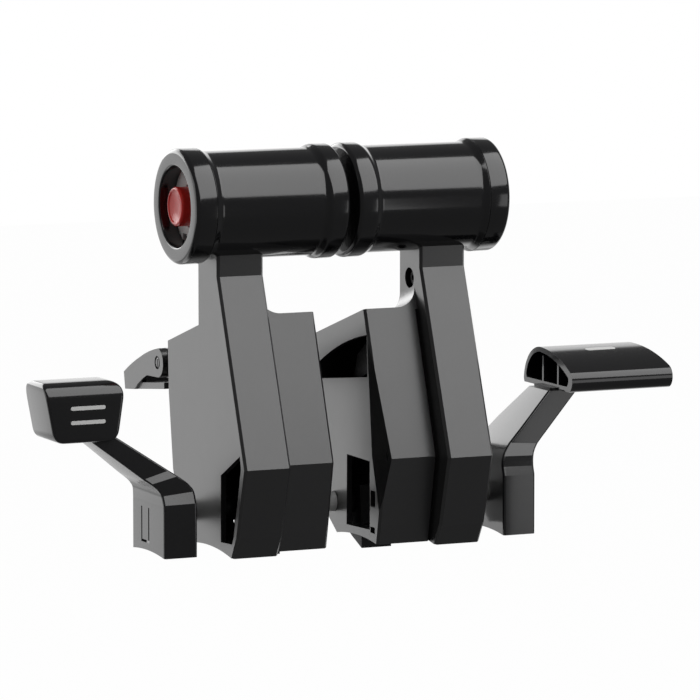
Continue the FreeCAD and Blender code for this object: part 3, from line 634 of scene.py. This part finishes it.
def coil_spring(side, sign):
    """Wire coil behind the thumb button."""
    curve = bpy.data.curves.new("button_coil_" + side, "CURVE")
    curve.dimensions = "3D"
    curve.bevel_depth = 0.32 * MM
    curve.bevel_resolution = 2
    turns, steps = 2.5, 48
    start, length, radius = 52.4, 3.2, 4.6
    wire = curve.splines.new("POLY")
    wire.points.add(steps)
    for step in range(steps + 1):
        angle = 2 * math.pi * turns * step / steps
        place = at(sign * (start + length * step / steps), GRIP[1] + radius * math.cos(angle),
                   GRIP[2] + radius * math.sin(angle))
        wire.points[step].co = (*place, 1.0)
    coil = bpy.data.objects.new("button_coil_" + side, curve)
    bpy.context.scene.collection.objects.link(coil)
    curve.materials.append(FINISHES["steel"])
    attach(coil, "thrust_" + side)
    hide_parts("button_spring_" + side)


for side, sign in SIDES.items():
    hand_grip(side, sign)
    coil_spring(side, sign)
    pivot_screw(side, sign)
outer_levers()
brake_knob()
index_marks()


# ---------------------------------------------------------------- CAD nodes that stay in view

KEPT = {
    "pod": ["thrust_shell", "thrust_cover", "reverser_lever"],
    "inner": ["button_housing", "reverser_pin", "neck_screw"],
    "cast": ["lever_core"],
    "board": ["button_board"],
}
SINGLE = {
    "arm": ["flap_handle"],
    "steel": ["pivot_shaft", "retaining_rings"],
    "bush_and_painted_reflection": ["center_spacer", "side_spacer_left", "side_spacer_right"],
}
ROUND = {"thrust_shell": 0.3, "thrust_cover": 0.3, "reverser_lever": 0.4, "flap_handle": 0.35}
SMALL_ROUND = 0.12

for finish, names in KEPT.items():
    for name in names:
        for side in SIDES:
            dress_node(nodes["%s_%s" % (name, side)], finish, ROUND.get(name, SMALL_ROUND))
for finish, names in SINGLE.items():
    for name in names:
        dress_node(nodes[name], finish, ROUND.get(name, SMALL_ROUND))


# ---------------------------------------------------------------- stage, light and camera

def backdrop_share(tree, mask, seen):
    """Share of white: all camera rays, and mirrored rays where the mask has the backdrop."""
    rays = add(tree, "ShaderNodeLightPath")
    bounced = math_node(tree, "ADD", (rays, "Is Glossy Ray"), (rays, "Is Transmission Ray"))
    mirrored = math_node(tree, "MULTIPLY", (bounced, 0), (mask, 0))
    both = math_node(tree, "ADD", (rays, "Is Camera Ray"), (mirrored, 0), clamp=True)
    return math_node(tree, "MULTIPLY", (both, 0), seen)


def step_between(tree, source, start, end):
    """Smooth 0 to 1 step of a value between two of its levels."""
    return add(tree, "ShaderNodeMapRange", {"interpolation_type": "SMOOTHSTEP"}, Value=source,
               From_Min=start, From_Max=end)


def floor_material():
    """Pale floor that the camera and far mirrored rays see as white."""
    material = bpy.data.materials.new("studio_floor")
    material.use_nodes = True
    tree = material.node_tree
    plain = tree.nodes["Principled BSDF"]
    plain.inputs["Base Color"].default_value = (0.82, 0.82, 0.82, 1)
    plain.inputs["Roughness"].default_value = 0.9
    white = add(tree, "ShaderNodeEmission", Strength=1.0)
    place = add(tree, "ShaderNodeNewGeometry")
    along = add(tree, "ShaderNodeSeparateXYZ", Vector=(place, "Position"))
    far = step_between(tree, (along, "Y"), 0.8, 1.2)
    share = backdrop_share(tree, far, 0.985)
    blend = add(tree, "ShaderNodeMixShader", _0=(share, 0))
    tree.links.new(plain.outputs[0], blend.inputs[1])
    tree.links.new(white.outputs[0], blend.inputs[2])
    tree.links.new(blend.outputs[0], tree.nodes["Material Output"].inputs["Surface"])
    return material


def lay_floor(level=-0.30):
    """Floor behind the object only, well below it."""
    floor = mesh_object("studio_floor", [(-3, 0.45, level), (3, 0.45, level), (3, 4, level),
                                         (-3, 4, level)], [(0, 1, 2, 3)])
    floor.data.materials.append(floor_material())


def softbox(name, direction, distance, width, height, strength):
    """Area light facing the object from a direction; strength is its radiance."""
    centre = Vector((0.0, -0.02, 0.06))
    light = bpy.data.lights.new(name, "AREA")
    light.shape = "RECTANGLE"
    light.size = width
    light.size_y = height
    light.energy = strength * width * height * math.pi
    lamp = bpy.data.objects.new(name, light)
    lamp.location = centre + Vector(direction).normalized() * distance
    lamp.rotation_euler = (centre - lamp.location).to_track_quat("-Z", "Y").to_euler()
    lamp.visible_camera = False
    bpy.context.scene.collection.objects.link(lamp)


def studio_world():
    """Dim surround that is white to the camera and, low behind, to mirrored rays."""
    world = bpy.data.worlds.new("studio")
    world.use_nodes = True
    tree = world.node_tree
    shade = tree.nodes["Background"]
    white = add(tree, "ShaderNodeBackground", Color=(1, 1, 1, 1), Strength=1.0)
    shade.inputs["Color"].default_value = (1, 1, 1, 1)
    shade.inputs["Strength"].default_value = 0.10
    place = add(tree, "ShaderNodeTexCoord")
    along = add(tree, "ShaderNodeSeparateXYZ", Vector=(place, "Generated"))
    behind = step_between(tree, (along, "Y"), 0.35, 0.60)
    below = step_between(tree, (along, "Z"), 0.46, 0.36)
    mask = math_node(tree, "MULTIPLY", (behind, 0), (below, 0))
    share = backdrop_share(tree, mask, 1.0)
    blend = add(tree, "ShaderNodeMixShader", _0=(share, 0))
    tree.links.new(shade.outputs[0], blend.inputs[1])
    tree.links.new(white.outputs[0], blend.inputs[2])
    tree.links.new(blend.outputs[0], tree.nodes["World Output"].inputs["Surface"])
    bpy.context.scene.world = world


def set_camera():
    """Long lens from the front left, a little above the grips."""
    data = bpy.data.cameras.new("camera")
    data.sensor_width = 36.0
    data.lens = 283.6
    camera = bpy.data.objects.new("camera", data)
    camera.location = (-0.8696, -1.9400, 0.3137)
    aim = Vector((0.4129, 0.9030, -0.1186))
    camera.rotation_euler = aim.to_track_quat("-Z", "Y").to_euler()
    bpy.context.scene.collection.objects.link(camera)
    bpy.context.scene.camera = camera


lay_floor()
softbox("back_left_box", (-0.30, 0.90, 0.36), 1.5, 1.3, 0.85, 1.8)
softbox("overhead_box", (0.35, -0.56, 0.80), 1.2, 1.5, 1.36, 2.0)
softbox("left_fill_box", (-0.97, 0.24, 0.12), 1.2, 0.6, 0.9, 1.0)
softbox("low_front_card", (0.49, -0.62, -0.046), 0.79, 0.264, 0.29, 0.85)
studio_world()
set_camera()
bpy.context.scene.view_settings.view_transform = "Standard"
